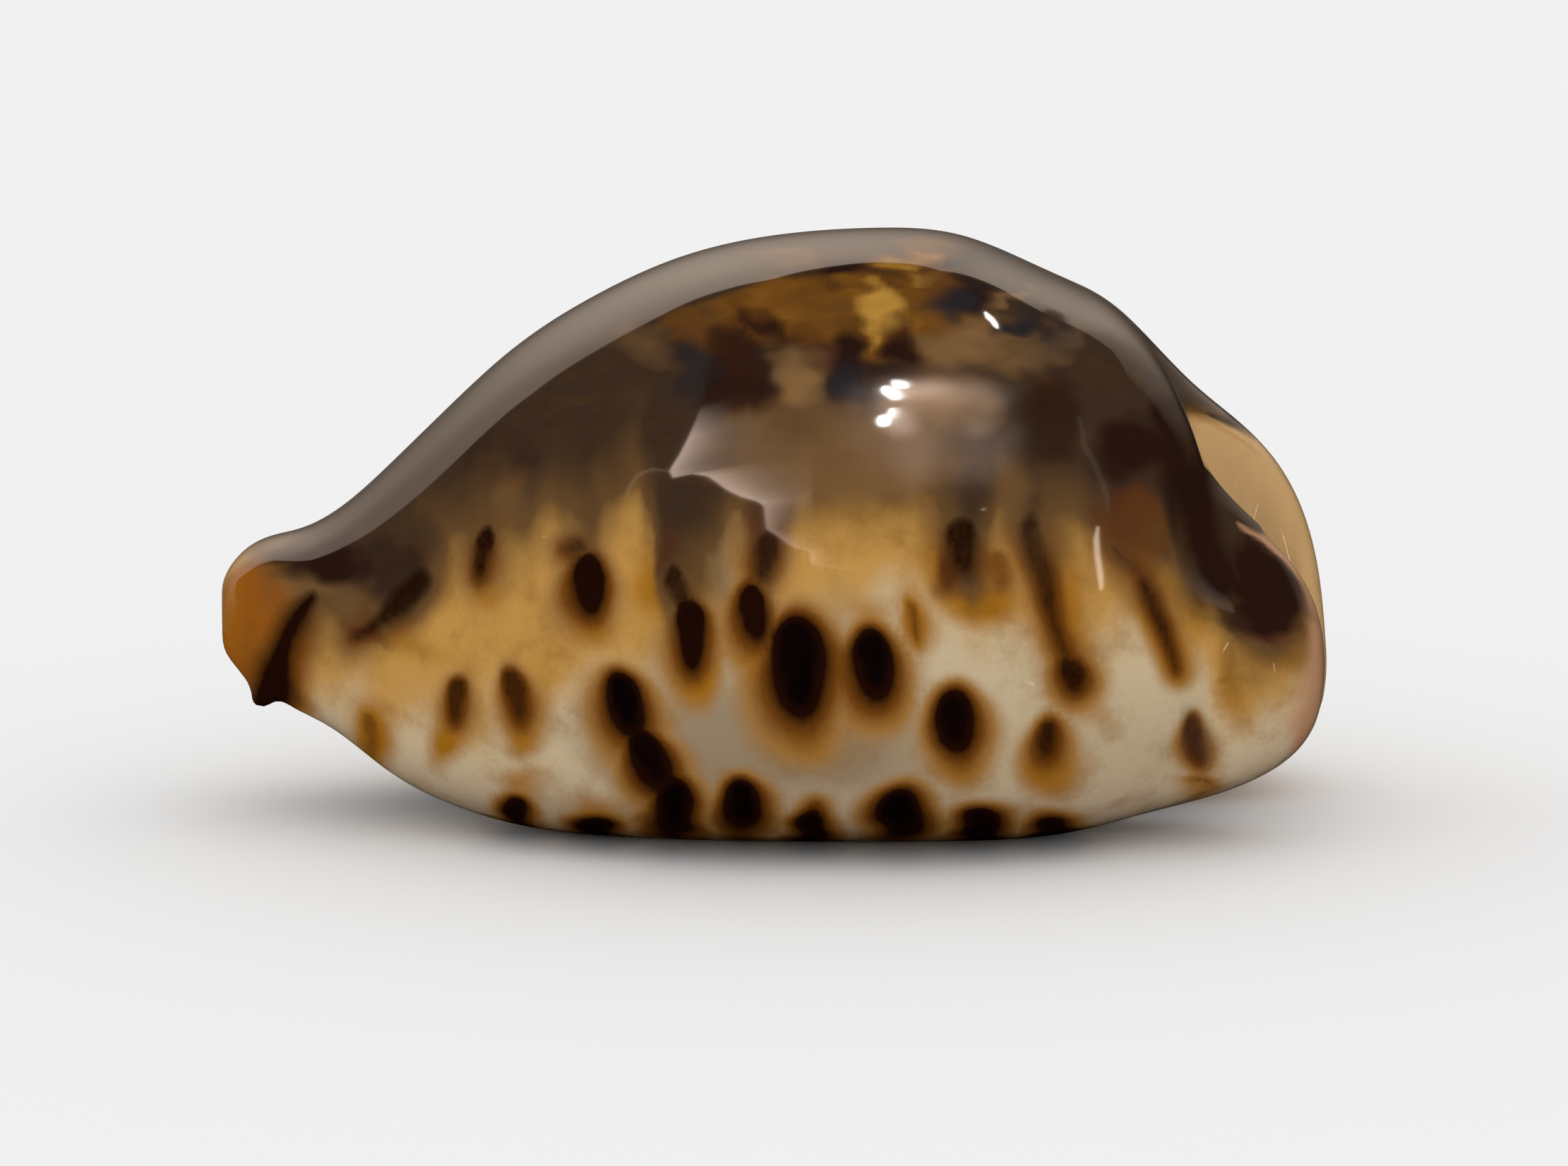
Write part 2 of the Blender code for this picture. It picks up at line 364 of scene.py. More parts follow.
# The marks of the near side as the photograph shows them. An oval is its place across and down, its half
# width and half height in the photograph's pixels, its lean in degrees (the lower end to the right), and
# its depth of colour.
NEAR_OVALS = {
    "spot": (
        (685, 785, 19, 42, -10, 0.74), (836, 827, 27, 46, 0, 0.86), (812, 778, 24, 18, 0, 0.64),
        (976, 903, 27, 54, 3, 0.88), (963, 832, 20, 38, 10, 0.72), (1063, 872, 26, 48, 6, 0.84),
        (1082, 788, 22, 42, -16, 0.72), (1130, 947, 42, 80, 4, 1), (1233, 944, 32, 57, 5, 1),
        (1292, 876, 7, 32, 12, 0.5), (1366, 779, 30, 48, 14, 0.74), (1418, 814, 20, 34, 0, 0.45),
        (1341, 811, 14, 22, 0, 0.58), (1354, 1023, 29, 47, 8, 0.96), (1485, 1054, 22, 33, 6, 0.72),
        (1521, 957, 22, 37, 8, 0.74), (642, 996, 17, 36, 0, 0.7), (735, 988, 19, 45, 14, 0.7),
        (526, 1043, 12, 30, 10, 0.44), (1276, 1153, 31, 31, 4, 1), (1387, 1168, 28, 26, 4, 0.96),
        (1492, 1173, 26, 18, 4, 0.92), (953, 1144, 30, 42, 10, 1), (1051, 1144, 26, 35, 12, 1),
        (1149, 1168, 23, 24, 0, 0.96), (734, 1150, 19, 22, 0, 0.92), (844, 1171, 26, 16, 0, 0.96),
        (882, 1005, 31, 50, 18, 1), (919, 1080, 28, 44, 24, 0.96), (1696, 1050, 14, 40, 2, 0.62),
        (1697, 1111, 18, 5, -10, 0.46),
    ),
    "amber": (
        (688, 845, 18, 20, 0, 0.55), (842, 885, 24, 26, 0, 0.7), (632, 1056, 22, 26, 0, 0.95),
        (743, 1053, 20, 24, 0, 0.8), (771, 965, 18, 40, 0, 0.3), (531, 1041, 24, 46, 10, 0.95),
        (560, 900, 60, 18, -24, 0.55), (990, 965, 26, 34, 4, 1), (926, 826, 22, 44, 0, 0.85),
        (1067, 931, 20, 30, 10, 0.7), (1144, 1047, 34, 26, 0, 0.55), (1226, 864, 34, 18, 0, 0.6),
        (1251, 1010, 30, 26, 0, 0.5), (1294, 872, 20, 46, 12, 0.8), (1384, 858, 54, 26, -10, 0.95),
        (1330, 800, 26, 44, 0, 0.6), (1518, 850, 18, 54, 6, 0.8), (1359, 1092, 34, 16, 0, 0.5),
        (1486, 1096, 28, 24, 0, 0.8), (1556, 1015, 26, 16, -40, 0.35), (1600, 720, 44, 46, 0, 0.7),
        (1693, 860, 26, 46, 0, 0.6), (1743, 972, 15, 52, 10, 0.6), (1806, 915, 60, 24, -10, 0.9),
        (736, 1106, 32, 16, 0, 0.7), (842, 1142, 36, 14, 0, 0.6), (1446, 704, 22, 44, 0, 0.6),
        (1640, 840, 14, 60, 10, 0.5), (1682, 810, 44, 60, 0, 0.6), (1185, 700, 90, 30, 0, 0.35),
        (322, 860, 16, 90, 0, 0.4),
    ),
    "mantle": (
        (545, 806, 76, 62, -30, 1), (600, 760, 34, 60, 10, 0.9), (478, 800, 60, 44, 0, 0.9),
        (585, 800, 30, 50, 0, 0.95), (1795, 836, 64, 76, 0, 1), (1760, 800, 40, 60, 0, 1),
        (1775, 884, 50, 34, 0, 0.9),
    ),
    "gold": (
        (1180, 430, 200, 64, 0, 0.42), (1250, 440, 44, 36, 0, 1), (1247, 476, 20, 22, 0, 0.9),
        (1283, 372, 50, 12, 8, 0.85), (1310, 390, 40, 9, 8, 0.7), (1115, 440, 44, 26, 0, 0.5),
        (1160, 415, 30, 20, 0, 0.4), (1110, 402, 44, 14, -4, 0.3), (1000, 476, 54, 20, -24, 0.36),
        (1318, 350, 40, 16, 6, 0.35), (1115, 362, 40, 14, -6, 0.3), (1604, 752, 40, 60, 0, 0.22),
    ),
    "night": (
        (1190, 388, 44, 16, 0, 0.95), (1246, 401, 40, 6, 8, 0.5), (1203, 510, 26, 48, -4, 1),
        (1224, 546, 32, 18, 0, 1), (1279, 495, 18, 36, 8, 0.9), (1256, 522, 30, 16, 0, 0.8),
        (1012, 540, 20, 46, 0, 0.85), (1076, 540, 16, 48, 0, 0.8), (1040, 520, 46, 62, 0, 0.75),
        (1086, 462, 17, 56, 52, 0.85), (1128, 482, 30, 12, 20, 0.6), (985, 520, 28, 42, 0, 0.6),
        (1366, 424, 44, 24, 10, 1), (1440, 460, 34, 13, 18, 0.9), (1428, 411, 26, 8, 20, 0.6),
        (1606, 632, 50, 42, 20, 0.95), (1485, 600, 50, 62, 0, 0.6), (1795, 836, 56, 62, 0, 1),
        (1772, 872, 40, 28, 0, 0.8), (1768, 800, 34, 44, 0, 1), (1722, 846, 30, 34, 0, 0.6),
        (432, 790, 66, 26, 4, 0.9), (480, 800, 46, 34, 0, 1), (550, 800, 60, 50, -30, 0.4),
        (704, 640, 50, 44, 0, 0.34),
    ),
    "slate": (
        (985, 525, 24, 34, 0, 0.7), (1200, 536, 26, 24, 0, 0.9), (1350, 430, 32, 20, 20, 0.9),
        (1440, 461, 36, 14, 20, 0.8), (1504, 478, 44, 18, 35, 0.6), (1390, 362, 64, 20, 14, 0.6),
        (1440, 390, 60, 20, 24, 0.5), (380, 984, 26, 16, 0, 0.8), (1696, 1046, 18, 42, 2, 0.6),
    ),
    "rust": (
        (1043, 522, 14, 56, 0, 0.8), (1281, 480, 12, 30, 0, 0.6), (1425, 412, 24, 7, 20, 0.7),
        (1341, 811, 20, 26, 0, 0.6), (520, 896, 36, 12, -20, 0.8), (1600, 728, 44, 50, 0, 0.52),
        (1612, 786, 34, 46, 0, 0.46), (1800, 896, 50, 16, 0, 0.6), (950, 784, 18, 42, 0, 0.6),
        (1324, 386, 22, 10, 0, 0.6), (1128, 606, 30, 18, 0, 0.4), (1080, 756, 26, 30, -16, 0.5),
        (1160, 500, 26, 24, 0, 0.5), (1056, 462, 34, 22, 30, 0.6), (1300, 520, 22, 18, 0, 0.45),
        (1180, 368, 60, 9, -3, 0.5), (1000, 480, 40, 16, -24, 0.45), (1345, 404, 24, 10, 10, 0.5),
        (1260, 640, 60, 30, 0, 0.2),
    ),
    "fawn": (
        (1127, 545, 34, 46, 0, 0.95), (1370, 485, 84, 34, 6, 0.85), (1312, 500, 22, 30, 0, 0.6),
        (1450, 506, 62, 20, 12, 0.6), (1420, 424, 36, 10, 16, 0.9), (905, 485, 62, 26, -30, 0.35),
        (716, 690, 26, 46, 10, 0.3), (772, 700, 16, 30, 0, 0.2), (1180, 645, 180, 76, 0, 0.58),
        (1330, 570, 80, 40, 0, 0.8), (455, 838, 50, 20, -10, 0.5), (1514, 478, 46, 14, 35, 0.5),
        (1424, 698, 36, 44, 0, 0.34),
    ),
}
# Streaks: their pixels from end to end, their half widths there, and their depth of colour.
NEAR_STREAKS = {
    "spot": (
        (((1461, 740), (1472, 796), (1488, 846), (1506, 896), (1518, 935)), (18, 21, 19, 13, 12), 0.69),
        (((1576, 772), (1600, 800), (1621, 831), (1634, 860)), (10, 13, 14, 12), 0.56),
        (((1618, 830), (1630, 852), (1645, 885), (1664, 948)), (10, 15, 15, 9), 0.70),
        (((500, 902), (522, 892), (548, 876), (594, 826)), (10, 13, 18, 24), 0.72),
        (((442, 856), (425, 880), (413, 900), (402, 925), (392, 955), (384, 990)),
         (14, 17, 18, 20, 26, 34), 0.80),
    ),
    "rim": (
        (((1757, 742), (1793, 760), (1826, 792), (1852, 832), (1866, 872), (1874, 930), (1866, 990),
          (1846, 1040)), (3, 4, 5, 7, 9, 18, 26, 26), 1.0),
    ),
    "night": (
        (((1652, 590), (1680, 680), (1702, 760), (1722, 830)), (26, 32, 30, 34), 0.95),
        (((1716, 584), (1750, 598), (1785, 622)), (5, 8, 5), 0.80),
    ),
    "amber": (
        (((1461, 730), (1475, 796), (1496, 846), (1511, 896)), (34, 36, 32, 26), 0.50),
        (((1571, 750), (1600, 800), (1621, 831), (1643, 881), (1664, 945)), (26, 26, 24, 26, 22), 0.60),
        (((1700, 594), (1720, 604), (1745, 620), (1785, 645)), (14, 16, 14, 8), 0.80),
    ),
}
# Where the brown mantle of the near side gives way to the cream.
NEAR_EDGE = (
    (300, 690), (400, 780), (437, 840), (500, 868), (545, 858), (585, 818), (602, 778), (620, 762),
    (640, 752), (660, 748), (680, 738), (720, 728), (742, 742), (780, 706), (800, 722), (835, 742),
    (860, 702), (900, 655), (922, 720), (942, 838), (960, 835), (975, 822), (992, 812), (1016, 785),
    (1040, 728), (1054, 718), (1062, 735), (1082, 800), (1105, 745), (1140, 690), (1230, 672),
    (1290, 684), (1320, 706), (1345, 740), (1372, 808), (1395, 760), (1412, 700), (1440, 715),
    (1461, 760), (1490, 735), (1530, 722), (1560, 745), (1590, 785), (1620, 768), (1650, 788),
    (1680, 806), (1711, 835), (1740, 890), (1800, 914), (1850, 884), (1900, 860),
)
# Below this line the cream is pale, above it honey.
NEAR_WARMTH = (
    (300, 1000), (440, 965), (500, 990), (560, 1000), (620, 1012), (700, 1010), (771, 1000), (860, 960),
    (940, 940), (1030, 896), (1100, 900), (1180, 870), (1250, 828), (1330, 850), (1380, 902),
    (1414, 890), (1480, 900), (1560, 880), (1600, 880), (1660, 940), (1700, 950), (1730, 1000),
    (1760, 1020), (1800, 985), (1860, 950),
)
# Where the cream is dull: darker, greyer patches on the flank. The last oval, at the lower right, is painted
# shade where less light falls.
DULL_AND_SHADE = (
    (1090, 1070, 250, 120, 0, 1.0), (1029, 850, 38, 90, 0, 0.8), (1183, 930, 26, 80, 0, 0.5),
    (1600, 1080, 240, 90, 0, 0.35),
)

# The far side isn't in the photograph. Its marks are given as the photograph would show them in a mirror.
FAR_OVALS = {
    "spot": (
        (600, 985, 15, 33, -4, 0.85), (700, 930, 18, 34, 6, 0.95), (690, 1072, 24, 31, 4, 1),
        (790, 1000, 28, 47, 8, 1), (800, 1132, 30, 28, 0, 1), (905, 936, 32, 51, -4, 1),
        (898, 1092, 26, 31, 8, 1), (1010, 1016, 34, 56, 6, 1), (1000, 1152, 32, 25, 0, 1),
        (1110, 926, 24, 42, 4, 1), (1122, 1082, 30, 39, 0, 1), (1215, 1008, 36, 51, 6, 1),
        (1230, 1146, 32, 28, 0, 1), (1320, 918, 26, 41, 10, 1), (1336, 1082, 28, 37, 0, 1),
        (1430, 1000, 30, 45, 8, 1), (1452, 1132, 28, 28, 4, 1), (1530, 926, 20, 36, 8, 0.95),
        (1560, 1060, 22, 33, 6, 1), (1650, 990, 18, 33, 8, 0.9), (1004, 846, 16, 31, 0, 0.75),
        (1215, 846, 16, 30, 6, 0.8), (762, 850, 20, 33, -8, 0.75), (1428, 846, 20, 33, 8, 0.8),
        (1700, 1084, 14, 23, 0, 0.65), (560, 870, 11, 23, -8, 0.6), (860, 806, 18, 27, 0, 0.65),
        (1120, 790, 18, 28, -6, 0.65), (1560, 800, 18, 31, 8, 0.7),
    ),
    "amber": (
        (1215, 900, 30, 30, 0, 0.5), (860, 850, 30, 26, 0, 0.6), (1320, 840, 34, 30, 0, 0.5),
        (660, 860, 30, 34, 0, 0.4), (1500, 860, 26, 34, 0, 0.5), (1660, 900, 30, 40, 0, 0.5),
    ),
    "gold": (
        (1120, 430, 46, 26, 0, 0.8), (1010, 470, 30, 30, 0, 0.6), (1330, 460, 44, 22, 10, 0.8),
        (1210, 400, 50, 14, 4, 0.7), (880, 540, 30, 24, 0, 0.5), (1470, 520, 34, 26, 0, 0.5),
    ),
    "night": (
        (1060, 480, 30, 40, 0, 0.9), (1200, 460, 40, 22, 0, 0.9), (1260, 540, 36, 40, 0, 0.8),
        (1400, 470, 34, 24, 10, 0.9), (950, 560, 40, 50, 0, 0.8), (820, 600, 40, 44, 0, 0.7),
        (1130, 600, 44, 40, 0, 0.6), (1420, 610, 50, 50, 0, 0.7), (1580, 620, 50, 46, 10, 0.9),
        (690, 640, 36, 36, 0, 0.6), (415, 800, 70, 30, 6, 0.7), (1700, 700, 60, 90, 0, 0.9),
    ),
    "slate": (
        (1050, 500, 24, 24, 0, 0.7), (1410, 480, 30, 16, 10, 0.8), (900, 520, 30, 16, 0, 0.4),
    ),
    "rust": (
        (1090, 520, 14, 50, 0, 0.7), (1300, 520, 14, 40, 0, 0.6), (520, 896, 36, 12, -20, 0.8),
    ),
    "fawn": (
        (1160, 520, 36, 50, 0, 0.8), (1340, 520, 60, 34, 6, 0.7), (1000, 620, 50, 40, 0, 0.4),
        (1300, 640, 60, 40, 0, 0.4), (760, 660, 40, 36, 0, 0.4), (455, 838, 50, 20, -10, 0.5),
    ),
}

FAR_STREAKS = {
    "spot": (
        (((640, 760), (655, 800), (665, 840)), (14, 18, 12), 0.70),
        (((1640, 770), (1665, 840), (1680, 910)), (14, 16, 10), 0.70),
        (((440, 858), (418, 888), (400, 920), (396, 955), (392, 990)), (10, 10, 12, 14, 18), 0.80),
    ),
}
FAR_EDGE = (
    (300, 700), (400, 790), (437, 846), (500, 880), (560, 820), (620, 740), (690, 700), (760, 780),
    (820, 710), (860, 780), (930, 700), (1004, 790), (1060, 700), (1120, 770), (1170, 700), (1215, 790),
    (1280, 700), (1350, 690), (1428, 790), (1490, 710), (1560, 780), (1610, 710), (1680, 780),
    (1740, 860), (1800, 900), (1850, 884), (1900, 860),
)
FAR_WARMTH = (
    (300, 1000), (440, 965), (560, 1000), (700, 990), (860, 960), (1030, 920), (1180, 900), (1330, 890),
    (1480, 900), (1600, 910), (1700, 940), (1760, 1000), (1860, 960),
)


def wander(points, size, seed):
    """A smooth random field, mostly between -1 and 1, whose waves are about size mm long."""
    random = np.random.default_rng(seed)
    total = 0
    for _ in range(7):
        way = random.normal(size=3)
        way *= random.uniform(0.6, 1.5) * 2 * np.pi / (size * MM * np.linalg.norm(way))
        total = total + np.sin(points @ way + random.uniform(0, 2 * np.pi))
    return total / 3


def in_photo(points, side):
    """Where points show in the photograph, across and down in its pixels, and how far from the camera.

    For the far side, the shell is seen as in a mirror.
    """
    x, y, z = points[..., 0], side * points[..., 1], points[..., 2] - TARGET_LEVEL
    ahead = DISTANCE + y * np.cos(ELEVATION) - z * np.sin(ELEVATION)
    across = TARGET_PIXEL[0] + FOCAL * x / ahead
    down = TARGET_PIXEL[1] - FOCAL * (y * np.sin(ELEVATION) + z * np.cos(ELEVATION)) / ahead
    return across, down, ahead


def ease(low, high, at):
    """0 below low, 1 above high, and a smooth slope between them; in the units of at."""
    t = np.clip((at - low) / (high - low), 0, 1)
    return t * t * (3 - 2 * t)


# How soft the rim of each kind of mark is, in pixels, and the kinds whose rims are ragged.
BLUR = {
    "amber": 34, "gold": 20, "night": 19, "slate": 18, "rust": 18, "fawn": 28, "mantle": 30,
}
DULL_AND_SHADE_BLUR = 60
RAGGED = ("gold", "night", "slate", "rust", "fawn")

# How far the mantle and the warm cream fade in above and below their lines, in pixels.
MANTLE_FADE = (-115, 125)
WARMTH_FADE = (-90, 90)

# The orange of the snout, as an oval with its blur.
SNOUT_OVAL = (356, 885, 76, 110, 0, 30)

# The tan patch on the far lobe, in mm: where it fades in along X and Y, and out along Y and at the top, which
# drops towards the front.
LOBE_FROM_X = (21.0, 24.0)
LOBE_FROM_Y = (-3.0, 0.5)
LOBE_TO_Y = (6.5, 13.0)
LOBE_TOP = (20.4, 21.8)
LOBE_TOP_DROP = 0.25
LOBE_TOP_AT = 28

# A spot's darkness at the edge of its dark part, and how far its fringe reaches, in its own widths.
EDGE_DARKNESS = 0.71
FRINGE_REACH = 1.6


def oval(sight, across, down, half_width, half_height, lean, blur):
    """1 inside a leaning oval on the side that is seen, 0 outside it, with a rim as soft as blur pixels."""
    u, v, ahead = sight
    s, c = np.sin(np.radians(lean)), np.cos(np.radians(lean))
    a = ((u - across) * c - (v - down) * s) / half_width
    b = ((u - across) * s + (v - down) * c) / half_height
    away = np.hypot(a, b)
    inside = away < 1
    if inside.any():
        behind = (ahead - ahead[inside].min()) / MM
        away = away + np.maximum(behind - 4, 0) / 2
    soft = min(blur / min(half_width, half_height), 0.95)
    return 1 - ease(1 - soft, 1 + soft, away)


def fringed(gap, fringe, ahead):
    """How dark a spot is, by the pixels from its dark part and how wide its amber fringe is."""
    inside = gap < 0
    if inside.any():
        behind = (ahead - ahead[inside].min()) / MM
        gap = gap + np.maximum(behind - 6, 0) * 15
    beside = EDGE_DARKNESS * np.clip(1 - gap / (FRINGE_REACH * fringe), 0, 1) ** 2
    return np.where(gap > 0, beside, np.minimum(EDGE_DARKNESS * (1 - gap / fringe), 1))


def spot_mark(sight, across, down, half_width, half_height, lean):
    """A leaning oval spot with its fringe, which is wider below."""
    u, v, ahead = sight
    s, c = np.sin(np.radians(lean)), np.cos(np.radians(lean))
    a = (u - across) * c - (v - down) * s
    b = (u - across) * s + (v - down) * c
    reach = np.maximum(np.hypot(a, b), 1)
    away = np.hypot(a / half_width, b / half_height)
    fringe = (9 + 0.9 * half_width) * (1 + 0.45 * b / reach)
    return fringed(reach - reach / np.maximum(away, 0.05), fringe, ahead)


def streak(sight, path, half_widths, fringe=False):
    """1 along a path on the side that is seen, 0 beside it, with a soft rim or a spot's fringe."""
    u, v, ahead = sight
    gap = np.full(len(u), np.inf)
    share = np.full(len(u), np.inf)
    for (u0, v0), (u1, v1), w0, w1 in zip(path, path[1:], half_widths, half_widths[1:]):
        t = ((u - u0) * (u1 - u0) + (v - v0) * (v1 - v0)) / ((u1 - u0) ** 2 + (v1 - v0) ** 2)
        t = np.clip(t, 0, 1)
        away = np.hypot(u - u0 - t * (u1 - u0), v - v0 - t * (v1 - v0))
        width = w0 + t * (w1 - w0)
        gap = np.minimum(gap, away - width)
        share = np.minimum(share, away / width)
    if fringe:
        return fringed(gap, 9 + 1.2 * np.mean(half_widths), ahead)
    inside = share < 1
    if inside.any():
        share = share + np.maximum((ahead - ahead[inside].min()) / MM - 5, 0) / 5
    return 1 - ease(0.2, 1.8, share)


def follow(knots, at):
    """The height of a smooth line through its knots, level at each."""
    u, v = np.array(knots, float).T
    i = np.clip(np.searchsorted(u, at) - 1, 0, len(u) - 2)
    return v[i] + (v[i + 1] - v[i]) * ease(0, 1, (at - u[i]) / (u[i + 1] - u[i]))


def strongest(marks, name, mark):
    """Keeps a mark where it is stronger than those of its kind before it."""
    marks[name] = np.maximum(marks[name], mark)


def listed_marks(sight, ragged, ovals, streaks):
    """The ovals and streaks of one side, each kind a value from 0 to 1 at every point."""
    marks = {name: np.zeros(len(sight[0])) for name in (*BLUR, "spot", "rim", "dull_and_shade")}
    for name, rows in ovals.items():
        place = ragged if name in RAGGED else sight
        for *shape, depth in rows:
            mark = spot_mark(place, *shape) if name == "spot" else oval(place, *shape, BLUR[name])
            strongest(marks, name, depth * mark)
    for name, rows in streaks.items():
        for path, half_widths, depth in rows:
            strongest(marks, name, depth * streak(sight, path, half_widths, name == "spot"))
    # The dull patches of the cream; the one at the lower right is painted shade.
    for *shape, depth in DULL_AND_SHADE:
        strongest(marks, "dull_and_shade", depth * oval(sight, *shape, DULL_AND_SHADE_BLUR))
    return marks


def side_marks(points, side):
    """All the marks of one side."""
    ovals, streaks, edge, warmth = {
        NEAR: (NEAR_OVALS, NEAR_STREAKS, NEAR_EDGE, NEAR_WARMTH),
        FAR: (FAR_OVALS, FAR_STREAKS, FAR_EDGE, FAR_WARMTH),
    }[side]
    u, v, ahead = in_photo(points, side)
    u = u + wander(points, 4, 3) * 6
    v = v + wander(points, 4, 4) * 6
    ragged = u + wander(points, 2.2, 5) * 9, v + wander(points, 2.2, 6) * 7, ahead
    marks = listed_marks((u, v, ahead), ragged, ovals, streaks)
    above = 1 - ease(*MANTLE_FADE, v - follow(edge, u) + wander(points, 3, 8) * 10)
    strongest(marks, "mantle", above)
    marks["warm"] = 1 - ease(*WARMTH_FADE, v - follow(warmth, u) + wander(points, 7, 11) * 30)
    return marks


def lobe_patch(points):
    """The tan patch on the far lobe."""
    x, y, z = points.T / MM
    y = y + wander(points, 6, 12) * 1.2
    patch = ease(*LOBE_FROM_X, x) * ease(*LOBE_FROM_Y, y) * (1 - ease(*LOBE_TO_Y, y))
    return patch * (1 - ease(*LOBE_TOP, z - LOBE_TOP_DROP * (LOBE_TOP_AT - x)))


def markings(points):
    """The marks on the whole shell, each a value from 0 to 1 at every point."""
    near, far = side_marks(points, NEAR), side_marks(points, FAR)
    share = ease(-3, 3, points[:, 1] / MM)
    marks = {}
    for name in near:
        if name in ("mantle", "warm"):
            marks[name] = near[name] * (1 - share) + far[name] * share
        else:
            marks[name] = np.maximum(near[name], far[name])
    inside = ease(0.8, 1.6, -outside(points) / MM)
    marks["inside"] = inside
    marks["base"] = ease(0.35, 0.8, -slope_up(points)) * (1 - inside)
    marks["lobe"] = lobe_patch(points)
    marks["mantle"] = marks["mantle"] * (1 - marks["lobe"])
    snouts = [oval(in_photo(points, side), *SNOUT_OVAL) for side in (NEAR, FAR)]
    marks["snout"] = np.maximum(*snouts)
    return marks


def slope_up(points):
    """How much the surface faces up at each point, from -1 to 1."""
    normals = slope(points)
    return normals[:, 2] / np.maximum(np.linalg.norm(normals, axis=1), 1e-9)


def apply_modifiers(thing):
    """Turns the thing's mesh into what its modifiers make of it."""
    graph = bpy.context.evaluated_depsgraph_get()
    made = bpy.data.meshes.new_from_object(thing.evaluated_get(graph))
    thing.modifiers.clear()
    old = thing.data
    thing.data = made
    bpy.data.meshes.remove(old)


def points_of(mesh):
    """The mesh's points as rows of x, y and z."""
    flat = np.empty(len(mesh.vertices) * 3, np.float32)
    mesh.vertices.foreach_get("co", flat)
    return flat.reshape(-1, 3).astype(float)


def skin_mesh(points, quads):
    """The surface as a mesh whose faces all look outwards."""
    mesh = bpy.data.meshes.new("cowry_shell")
    mesh.from_pydata(points, [], quads)
    work = bmesh.new()
    work.from_mesh(mesh)
    bmesh.ops.recalc_face_normals(work, faces=work.faces)
    work.to_mesh(mesh)
    work.free()
    return mesh


def thin_hollow(thing, points):
    """Makes the faces in the hollow fewer and larger."""
    inner = thing.vertex_groups.new(name="hollow")
    deep = np.nonzero(outside(points) < -HOLLOW_DEPTH * MM)[0]
    inner.add(deep.tolist(), 1.0, "REPLACE")
    thin_out = thing.modifiers.new("Thin out the hollow", "DECIMATE")
    thin_out.ratio = 1 - (1 - INSIDE_KEPT) * len(deep) / len(points)
    thin_out.vertex_group = inner.name
    apply_modifiers(thing)


def settle(mesh):
    """Flattens the foot and gives every point the form's own normal."""
    points = points_of(mesh)
    normals = slope(points)
    normals /= np.maximum(np.linalg.norm(normals, axis=1, keepdims=True), 1e-9)
    foot = points[:, 2] < 0
    points[foot, 2] = 0
    normals[foot] = (0, 0, -1)
    mesh.vertices.foreach_set("co", points.astype(np.float32).ravel())
    mesh.update()
    mesh.shade_smooth()
    mesh.normals_split_custom_set_from_vertices(normals.tolist())
    return points


def keep_mark(mesh, name, values):
    """Keeps a value for every point on the mesh."""
    mark = mesh.attributes.new(name, "FLOAT", "POINT")
    mark.data.foreach_set("value", values.astype(np.float32).ravel())


def shell_surface():
    """The whole surface as one mesh, fine outside and coarser in the hollow, with its marks."""
    points, quads = skin(CELL * MM)
    thing = bpy.data.objects.new("cowry_shell", skin_mesh(points, quads))
    bpy.context.scene.collection.objects.link(thing)
    thin_hollow(thing, points)
    points = settle(thing.data)
    for name, values in markings(points).items():
        keep_mark(thing.data, name, values)
    return thing


class Wire:
    """The value of a node's socket. Sums with it add the Math nodes that they need."""

    def __init__(self, finish, socket):
        self.finish = finish
        self.socket = socket

    def __add__(self, other):
        return self.finish.sum("ADD", self, other)

    def __sub__(self, other):
        return self.finish.sum("SUBTRACT", self, other)

    def __rsub__(self, other):
        return self.finish.sum("SUBTRACT", other, self)

    def __mul__(self, other):
        return self.finish.sum("MULTIPLY", self, other)

    __radd__ = __add__
    __rmul__ = __mul__


class Finish:
    """One material and its nodes."""

    def __init__(self, name):
        self.material = bpy.data.materials.new(name)
        self.material.use_nodes = True
        self.nodes = self.material.node_tree.nodes
        self.links = self.material.node_tree.links
        self.surface = self.nodes["Principled BSDF"]

    def feed(self, socket, value):
        """Sets a socket to a value, or links it."""
        if isinstance(value, Wire):
            self.links.new(value.socket, socket)
        else:
            socket.default_value = value

    def node(self, kind, settings=(), inputs=(), output=0):
        """Adds a node of a kind: first its settings, then the values or links of its sockets."""
        made = self.nodes.new("ShaderNode" + kind)
        for name, value in dict(settings).items():
            setattr(made, name, value)
        for name, value in dict(inputs).items():
            self.feed(made.inputs[name], value)
        return Wire(self, made.outputs[output])

    def sum(self, operation, a, b):
        """The value of one Math node."""
        return self.node("Math", {"operation": operation}, {0: a, 1: b})

    def mark(self, name):
        """A mark that is kept on the mesh."""
        return self.node("Attribute", {"attribute_name": name}, output="Fac")

    def ramp(self, value, low, high):
        """0 below low, 1 above high, and a smooth slope between them."""
        settings = {"interpolation_type": "SMOOTHSTEP"}
        return self.node("MapRange", settings, {"Value": value, "From Min": low, "From Max": high})

    def slide(self, value, low, high):
        """0 below low, 1 above high, and a straight slope between them."""
        return self.node("MapRange", {}, {"Value": value, "From Min": low, "From Max": high})

    def mix(self, share, first, second):
        """From the first colour to the second."""
        colours = [c if isinstance(c, Wire) else (*c, 1) for c in (first, second)]
        return self.node("Mix", {"data_type": "RGBA"}, {0: share, 6: colours[0], 7: colours[1]}, 2)

    def noise(self, size, detail=2, where=None):
        """Soft cloudy noise whose lumps are about size mm across."""
        place = where or self.node("TexCoord", output="Object")
        inputs = {"Vector": place, "Scale": 1 / (size * MM), "Detail": detail}
        return self.node("TexNoise", {}, inputs, "Fac")


